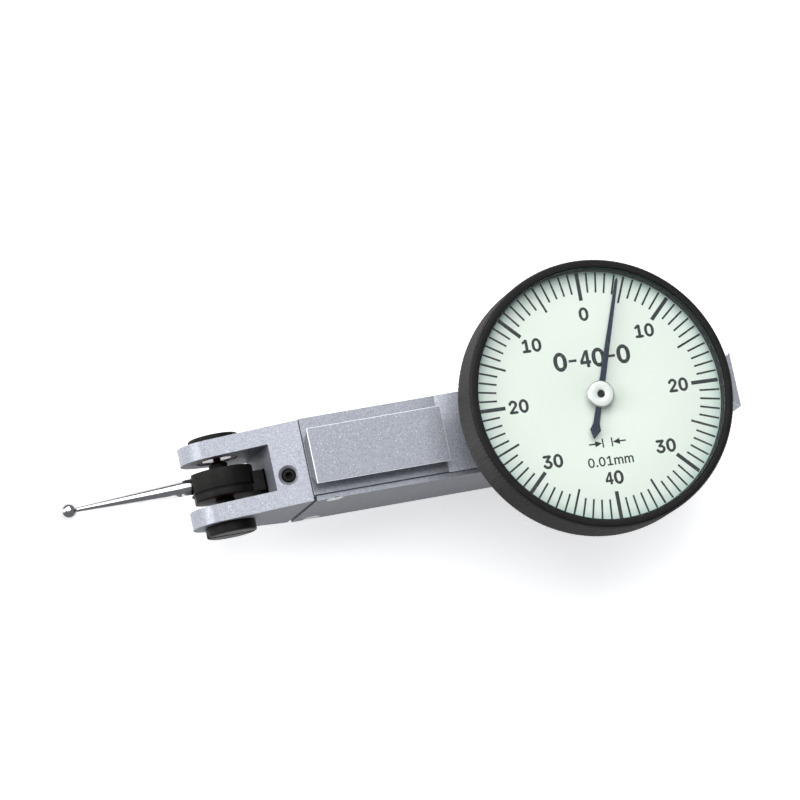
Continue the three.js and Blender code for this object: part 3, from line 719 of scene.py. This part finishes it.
def pivot_shaft():
    near, far = LEVER_NEAR - RUN, HUB_HIGH.y + RUN
    tip = SHAFT_HIGH.y
    half = [(0.95, far), (1.05, far), (1.05, 2.15), (0.55, 2.45), (0.4, 2.45), (0.4, tip), (0, tip)]
    mirrored = [(r, -h) for r, h in reversed(half[2:])]
    section = rounded([*mirrored, (1.05, near), (0.95, near), *half], 0.05)
    return turned(section, "Y", (PIVOT.x, 0, PIVOT.z), 64)


def droop(obj):
    """Turns a piece built along -X to the stylus's rest angle and puts it on the pivot."""
    turn = Matrix.Translation(PIVOT * MM) @ Matrix.Rotation(-DROOP, 4, "Y")
    obj.data.transform(turn)
    return obj


def flat_front():
    return block((-20, -HUB_FLAT), (-9, 9), (-20, 20))


def stylus_hub():
    drum = turned(rounded(ring(1.0, HUB_RADIUS, HUB_LOW.y, HUB_HIGH.y), 0.06), "Y", steps=144)
    thread = turned(rod(0.55, -HUB_FLAT - 1, -1.3), "X", (0, STYLUS_Y, 0), steps=48)
    return droop(cut(drum, flat_front(), thread))


def lever():
    disc = turned(rounded(ring(1.0, HUB_RADIUS, LEVER_NEAR, LEVER_FAR), 0.1), "Y", steps=144)
    droop(cut(disc, flat_front()))
    plan = [(-37, LEVER_NEAR), (-25.5, LEVER_NEAR), (-21.5, 1.2), (-4, 1.2), (-4, 2.2),
            (-22.2, 2.2), (-26.2, LEVER_FAR), (-37, LEVER_FAR)]
    arm = prism(plan, "XY", PIVOT.z - 0.8, PIVOT.z + 0.8)
    sides = (LEVER_NEAR, 0.5)
    root = block((-35.2, -32), sides, (PIVOT.z - 1.2, PIVOT.z + 1.2))
    saddle = block((-36.4, -34.8), sides, (PIVOT.z - 2.2, PIVOT.z + 2.2))
    cut(saddle, turned(rod(HUB_RADIUS + 0.15, LEVER_FAR + 0.05, 2), "Y", (PIVOT.x, 0, PIVOT.z), 144))
    return join(disc, arm, root, saddle)


def friction_washer():
    low, high = box_of("friction_washer")
    return turned(rounded(ring(1.0, HUB_RADIUS - 0.12, low.y, high.y), 0.03), "Y",
                  (PIVOT.x, 0, PIVOT.z), 144)


def stylus():
    """The tapered rod with its threaded root and two spanner flats."""
    root, neck = 0.9, 0.33
    start, hub = -STYLUS_LENGTH + 0.4, -HUB_FLAT - RUN
    section = [(0, start), (neck, start), (neck, -STYLUS_LENGTH + 1.3), (root, hub - 1.15),
               (root, hub), (0.5, hub), (0.5, -1.4), (0, -1.4)]
    body = turned(rounded(section, 0.06), "X", (0, STYLUS_Y, 0), steps=64)
    centre_line = Matrix.Translation((0, STYLUS_Y * MM, 0))
    flats = []
    for turn in FLATS_TURN:
        flat = block((hub - FLATS_END, hub - FLATS_START), (-2, 2), (root - FLATS_SUNK, 2))
        flat.data.transform(centre_line @ Matrix.Rotation(turn, 4, "X"))
        flats.append(flat)
    return droop(cut(body, *flats))


def stylus_ball():
    steps = 40
    angles = [math.pi * i / steps for i in range(1, steps)]
    ball = [(0, -STYLUS_LENGTH - BALL_RADIUS)]
    ball += [(BALL_RADIUS * math.sin(a), -STYLUS_LENGTH - BALL_RADIUS * math.cos(a)) for a in angles]
    ball.append((0, BALL_RADIUS - STYLUS_LENGTH))
    sphere = turned(ball, "X", (0, STYLUS_Y, 0), steps=64)
    hole = turned(rod(0.36, -STYLUS_LENGTH + 0.36, 0), "X", (0, STYLUS_Y, 0), steps=48)
    return droop(cut(sphere, hole))


for name, side in (("near", -1), ("far", 1)):
    piece(bearing_cap(side), f"cap_{name}", "black_steel", "frame", f"bearing_cap_{name}")
    piece(pivot_jewel(side), f"jewel_{name}", "jewel", "frame", f"pivot_jewel_{name}")
piece(pivot_shaft(), "shaft", "black_steel", "lever", "pivot_shaft")
piece(lever(), "lever", "black_steel", "lever", "lever_arm")
piece(friction_washer(), "clutch_washer", "black_steel", "lever", "friction_washer")
piece(stylus_hub(), "hub", "black_steel", "stylus", "stylus_hub")
piece(stylus(), "stylus_rod", "polished_steel", "stylus", "stylus")
piece(stylus_ball(), "ball", "polished_steel", "stylus", "stylus_ball")


# ------------------------------------------------------------------ case, bezel and crystal

def case():
    base, top = CASE_LOW.z, CASE_HIGH.z
    neck, outer, floor, step = 12.6, CASE_HIGH.x, 16.9, 21
    section = [(1.2, base), (neck, base), (neck, step), (outer, step), (outer, 22.6),
               (outer - 0.45, 22.6), (outer - 0.45, 23.1), (outer, 23.1), (outer, top),
               (outer - 1, top), (outer - 1, step + 0.6), (neck - 1, step + 0.6),
               (neck - 1, floor), (1.2, floor), (1.2, base)]
    shell = turned(rounded(section, 0.12), "Z", steps=SMOOTH)
    holes = []
    for node in (*CASE_SCREWS, "bridge_screw_1", "bridge_screw_2"):
        spot = middle(node)
        holes.append(turned(rod(THREAD_RADIUS, base - 1, floor + 1), "Z", (spot.x, spot.y, 0), 32))
    return cut(shell, *holes)


KNURLS = 192                         # diamonds around the bezel
KNURL_DEPTH = 0.13
KNURL_FLAT = 1.8                     # over 1 leaves a small flat on each diamond
BAND = (BEZEL_LOW.z + 0.4, BEZEL_HIGH.z - 0.25)
BORE = 13.72                         # the dial shows through this opening
RECESS = 14.12                       # the bezel's inside below the dial


def groove_distance(turns):
    return 2 * abs(turns - round(turns))


def knurl(column, row):
    """Depth below the crests at a point of the knurl's grid, four points to a diamond."""
    crest = min(groove_distance((column + row) / 4), groove_distance((column - row) / 4))
    return KNURL_DEPTH * (1 - min(1, crest * KNURL_FLAT))


def bezel():
    radius, top, bottom = BEZEL_HIGH.x, BEZEL_HIGH.z, BEZEL_LOW.z
    root, rebate = radius - KNURL_DEPTH, (CRYSTAL_HIGH.x - CRYSTAL_LOW.x) / 2 + RUN
    columns = 4 * KNURLS
    pitch = 2 * math.pi * radius / columns
    rows = round((BAND[1] - BAND[0]) / pitch)
    seat, ledge = DIAL_HIGH.z + RUN, CRYSTAL_LOW.z - 0.03
    above = rounded([(root, BAND[1]), (root, top - 0.15), (radius - 0.3, top), (rebate, top),
                     (rebate, ledge), (BORE, ledge), (BORE, seat), (RECESS, seat),
                     (RECESS, 23.2), (RECESS + 0.3, 23.2), (RECESS + 0.3, 22.5), (RECESS, 22.5),
                     (RECESS, bottom), (root - 0.15, bottom), (root, bottom + 0.3),
                     (root, BAND[0])], 0.09)
    around = [2 * math.pi * column / columns for column in range(columns)]
    points = []
    for row in range(rows + 1):
        z = BAND[0] + (BAND[1] - BAND[0]) * row / rows
        for column, angle in enumerate(around):
            here = root if row in (0, rows) else radius - knurl(column, row)
            points.append((here * math.cos(angle), here * math.sin(angle), z))
    for r, z in above[1:-1]:
        points += [(r * math.cos(angle), r * math.sin(angle), z) for angle in around]
    count = rows + 1 + len(above[1:-1])
    reach = [math.hypot(x, y) for x, y, _ in points]
    faces = []
    for i in range(count):
        first, second = i * columns, (i + 1) % count * columns
        for k in range(columns):
            n = (k + 1) % columns
            a, b, c, d = first + k, first + n, second + n, second + k
            if i >= rows:
                faces.append((a, b, c, d))
            elif reach[a] + reach[c] < reach[b] + reach[d]:
                faces += [(a, b, c), (a, c, d)]
            else:
                faces += [(a, b, d), (b, c, d)]
    return from_mm("bezel", points, faces)


def crystal():
    low, high, radius = CRYSTAL_LOW.z, CRYSTAL_HIGH.z, CRYSTAL_HIGH.x
    section = rounded([(0, low), (radius, low), (radius, high), (0, high)], 0.1)
    return turned(section, "Z", steps=SMOOTH)


def finish_rim(obj, look, radius):
    """Gives the faces beyond a radius a second material: a painted highlight on the bezel's crests, the
    rim's finish on the crystal.
    """
    obj.data.materials.append(LOOKS[look])
    for face in obj.data.polygons:
        if face.center.xy.length > radius * MM:
            face.material_index = 1


# ------------------------------------------------------------------ dial, markings and pointer

DIVISIONS = 80
INK = (DIAL_HIGH.z + 0.002, DIAL_HIGH.z + 0.008)
TICK_OUTER = 13.66
TICKS = {10: (10.6, 0.42), 5: (10.62, 0.24), 1: (11.42, 0.21)}   # inner radius and width
NUMERAL_RADIUS = 9.1
NUMERAL_HEIGHT = 1.36
LEGEND_Y = 4.2                       # the range, above the pointer's hub
LEGEND_HEIGHT = 1.9


def dial_plate():
    radius = DIAL_HIGH.x
    return turned(rounded(ring(0.9, radius, DIAL_LOW.z, DIAL_HIGH.z), 0.04), "Z", steps=SMOOTH)


def tick(angle, inner, width):
    """One graduation as (x, y) corners, clockwise angle from +Y in degrees."""
    turn = math.radians(-angle)
    corners = [(-width / 2, inner), (width / 2, inner), (width / 2, TICK_OUTER),
               (-width / 2, TICK_OUTER)]
    return [(x * math.cos(turn) - y * math.sin(turn), x * math.sin(turn) + y * math.cos(turn))
            for x, y in corners]


FONTS = bpy.utils.system_resource("DATAFILES", path="fonts")
TYPEFACE = bpy.data.fonts.load(FONTS + "/Inter.woff2")


def lettering(text, height, centre, weight):
    """Generic characters as a thin raised mesh, made bold by five close copies."""
    curve = bpy.data.curves.new("lettering", "FONT")
    curve.body = text
    curve.font = TYPEFACE
    curve.extrude = 0.01
    shape = bpy.data.objects.new("lettering", curve)
    bpy.context.scene.collection.objects.link(shape)
    graph = bpy.context.evaluated_depsgraph_get()
    glyphs = bpy.data.meshes.new_from_object(shape.evaluated_get(graph))
    bpy.data.objects.remove(shape)
    xs, ys, zs = zip(*(vertex.co for vertex in glyphs.vertices))
    scale = height * MM / (max(ys) - min(ys))
    thick = (INK[1] - INK[0]) * MM / (max(zs) - min(zs))
    middle_of_text = Vector((min(xs) + max(xs), min(ys) + max(ys), 2 * min(zs))) / 2
    glyphs.transform(Matrix.Translation(-middle_of_text))
    glyphs.transform(Matrix.Diagonal((scale, scale, thick, 1)))
    copies = []
    for step, (dx, dy) in enumerate(((0, 0), (1, 0), (-1, 0), (0, 1), (0, -1))):
        mesh = glyphs.copy()
        spot = Vector((centre[0] + dx * weight, centre[1] + dy * weight, INK[0] + step * 0.0005))
        mesh.transform(Matrix.Translation(spot * MM))
        copies.append(new_object("lettering", mesh))
    return merge(copies)


def merge(objects):
    """One object holding every mesh given."""
    whole = bmesh.new()
    for obj in objects:
        whole.from_mesh(obj.data)
        bpy.data.objects.remove(obj)
    mesh = bpy.data.meshes.new("merged")
    whole.to_mesh(mesh)
    whole.free()
    return new_object("merged", mesh)


def four(height, centre):
    """A numeral four drawn as a stem, a bar and a slanting stroke."""
    stroke = 0.19 * height
    stem, low, right = 0.36 * height, 0.2 * height, 0.64 * height
    strokes = [
        [(stem, 0), (stem + stroke, 0), (stem + stroke, height), (stem, height)],
        [(0, low), (right, low), (right, low + stroke), (0, low + stroke)],
        [(0, low + stroke), (0.19 * height, low + stroke), (stem, 0.72 * height), (stem, height)],
    ]
    shapes = []
    for step, corners in enumerate(strokes):
        spots = [(x - right / 2 + centre[0], y - height / 2 + centre[1]) for x, y in corners]
        shapes.append(prism(spots, "XY", INK[0], INK[1] - step * 0.001))
    return merge(shapes)


def forty(height, centre, weight):
    """Forty, its two figures side by side."""
    shift = 0.4 * height
    return [four(height, (centre[0] - shift, centre[1])),
            lettering("0", height, (centre[0] + shift, centre[1]), weight)]


def dial_markings():
    marks = []
    for i in range(DIVISIONS):
        inner, width = TICKS[10] if i % 10 == 0 else TICKS[5] if i % 5 == 0 else TICKS[1]
        marks.append(prism(tick(i * 360 / DIVISIONS, inner, width), "XY", *INK))
    for i in range(0, DIVISIONS, 10):
        value = min(i, DIVISIONS - i)
        angle = 2 * math.pi * i / DIVISIONS
        spot = (NUMERAL_RADIUS * math.sin(angle), NUMERAL_RADIUS * math.cos(angle))
        if value == DIVISIONS / 2:
            marks += forty(NUMERAL_HEIGHT, spot, 0.08)
        else:
            marks.append(lettering(str(value), NUMERAL_HEIGHT, spot, 0.08))
    marks += forty(LEGEND_HEIGHT, (0, LEGEND_Y), 0.11)
    for side in (-1, 1):
        marks.append(lettering("0", LEGEND_HEIGHT, (side * 3.6, LEGEND_Y), 0.11))
        marks.append(block(sorted((side * 1.75, side * 2.65)), (LEGEND_Y - 0.18, LEGEND_Y + 0.1), INK))
    marks.append(lettering("0.01mm", 1.0, (0, -7.2), 0.03))
    for side in (-1, 1):
        marks.append(block(sorted((side * 0.44, side * 0.6)), (-5.7, -4.7), INK))
        marks.append(block(sorted((side * 1.1, side * 2.1)), (-5.28, -5.12), INK))
        marks.append(prism([(side * 0.6, -5.2), (side * 1.4, -4.85), (side * 1.4, -5.55)], "XY", *INK))
    whole = merge(marks)
    whole.data.transform(Matrix.Rotation(DIAL_TURN, 4, "Z"))
    return whole


def pointer():
    low, high = POINTER_LOW.z, POINTER_HIGH.z
    tip, tail = 13.2, 5
    outline = [(0.34, 1), (0.15, tip - 0.3), (0, tip), (-0.15, tip - 0.3), (-0.34, 1), (-0.3, -1),
               (-0.36, 1.7 - tail), (-0.6, 1 - tail), (0, -tail), (0.6, 1 - tail),
               (0.36, 1.7 - tail), (0.3, -1)]
    needle = join(prism(outline, "XY", low, high), turned(rod(1.3, low, high), "Z", steps=64))
    cut(needle, turned(rod(0.4, low - 1, high + 1), "Z", steps=32))
    needle.data.transform(Matrix.Rotation(POINTER_TURN, 4, "Z"))
    return needle


def pointer_hub():
    low, high, radius = POINTER_HUB_LOW.z, POINTER_HUB_HIGH.z, POINTER_HUB_HIGH.x
    section = [(0.4, low), (radius, low), (radius, high - 0.1), (radius - 0.12, high),
               (0.45, high), (0.4, high - 0.05), (0.4, low)]
    return turned(rounded(section, 0.03), "Z", steps=96)


piece(case(), "case", "black_anodised", "frame", "dial_case")
piece(bezel(), "bezel_ring", "black_anodised", "bezel", "bezel")
# the knurl's crests get a painted highlight
finish_rim(bpy.data.objects["bezel_ring"], "worn_crest", BEZEL_HIGH.x - KNURL_DEPTH * 0.5)
piece(crystal(), "crystal_glass", "crystal", "bezel", "crystal")
finish_rim(bpy.data.objects["crystal_glass"], "crystal_rim", CRYSTAL_HIGH.x - 0.12)
piece(dial_plate(), "dial", "dial_enamel", "bezel", "dial_plate")
piece(dial_markings(), "dial_markings", "printing_ink", "bezel", slot="black_anodised")
piece(pointer(), "needle", "pointer_blue", "pointer", "pointer", edge=0.03)
piece(pointer_hub(), "needle_hub", "plated_hub", "pointer", "pointer_hub", slot="bright_screw")


# ------------------------------------------------------------------ inner pieces, as packed

REPLACED = {"body_frame", "fork_head", "side_cover", *COVER_SCREWS, "head_set_screw",
            "bearing_cap_near", "bearing_cap_far", "pivot_jewel_near", "pivot_jewel_far",
            "pivot_shaft", "lever_arm", "friction_washer", "stylus_hub", "stylus", "stylus_ball",
            "dial_case", "bezel", "crystal", "dial_plate", "pointer", "pointer_hub"}

FINISH = {"centre_arbor": "black_steel"}     # its end shows dark in the pointer's hub

for part in frame["record"]["subparts"]:
    if part["node"] in REPLACED:
        continue
    obj = frame["nodes"][part["node"]]
    obj.data.materials.clear()
    obj.data.materials.append(LOOKS[FINISH.get(part["node"], part["material_slot"])])


# ------------------------------------------------------------------ floor, light and camera

def floor():
    material, tree, shader = new_material("floor")
    colour_by(tree, shader, noise(tree, 60), [(0.3, (0.90, 0.90, 0.90)), (0.7, (0.92, 0.92, 0.92))])
    set_values(shader, Roughness=0.9, Emission_Color=(1, 1, 1, 1), Emission_Strength=0.55)
    ground = block((-3000, 3000), (-3000, 3000), (-20, 0), "floor")
    ground.data.materials.append(material)


def softbox(name, place, aim, size, power, colour=(1, 1, 1)):
    """A square soft light; place and aim in millimetres, size in metres."""
    light = bpy.data.lights.new(name, "AREA")
    light.size = size
    light.energy = power
    light.color = colour
    obj = bpy.data.objects.new(name, light)
    bpy.context.scene.collection.objects.link(obj)
    obj.location = Vector(place) * MM
    obj.rotation_euler = (Vector(aim) - Vector(place)).to_track_quat("-Z", "Y").to_euler()


def world(strength):
    sky = bpy.data.worlds.new("studio")
    sky.use_nodes = True
    background = sky.node_tree.nodes["Background"]
    background.inputs["Color"].default_value = (0.93, 0.96, 1.0, 1)
    background.inputs["Strength"].default_value = strength
    bpy.context.scene.world = sky


def camera():
    """Looks down at the dial from the near left, rolled a little."""
    tilt_x, tilt_y, roll = math.radians(-15.42), math.radians(-8.58), math.radians(-9.69)
    across, along = math.sin(tilt_x), math.sin(tilt_y)
    back = Vector((across, along, math.sqrt(1 - across ** 2 - along ** 2)))
    level = (Vector((1, 0, 0)) - back * back.x).normalized()
    upward = back.cross(level)
    right = level * math.cos(roll) + upward * math.sin(roll)
    up = upward * math.cos(roll) - level * math.sin(roll)
    lens = bpy.data.cameras.new("camera")
    lens.lens = 251.9
    lens.sensor_width = 36
    lens.clip_start = 0.05
    obj = bpy.data.objects.new("camera", lens)
    bpy.context.scene.collection.objects.link(obj)
    turn = Matrix((right, up, back)).transposed().to_4x4()
    target = Vector((-21.92, 3.20, DIAL_HIGH.z))
    obj.matrix_world = Matrix.Translation((target + back * 600) * MM) @ turn
    bpy.context.scene.camera = obj


floor()
world(0.25)
softbox("overhead", (-150, 480, 900), (-20, 0, 10), 1.0, 11)
softbox("left", (-800, 250, 380), (-20, 0, 10), 0.5, 4.5)
camera()
bpy.context.scene.view_settings.view_transform = "Standard"
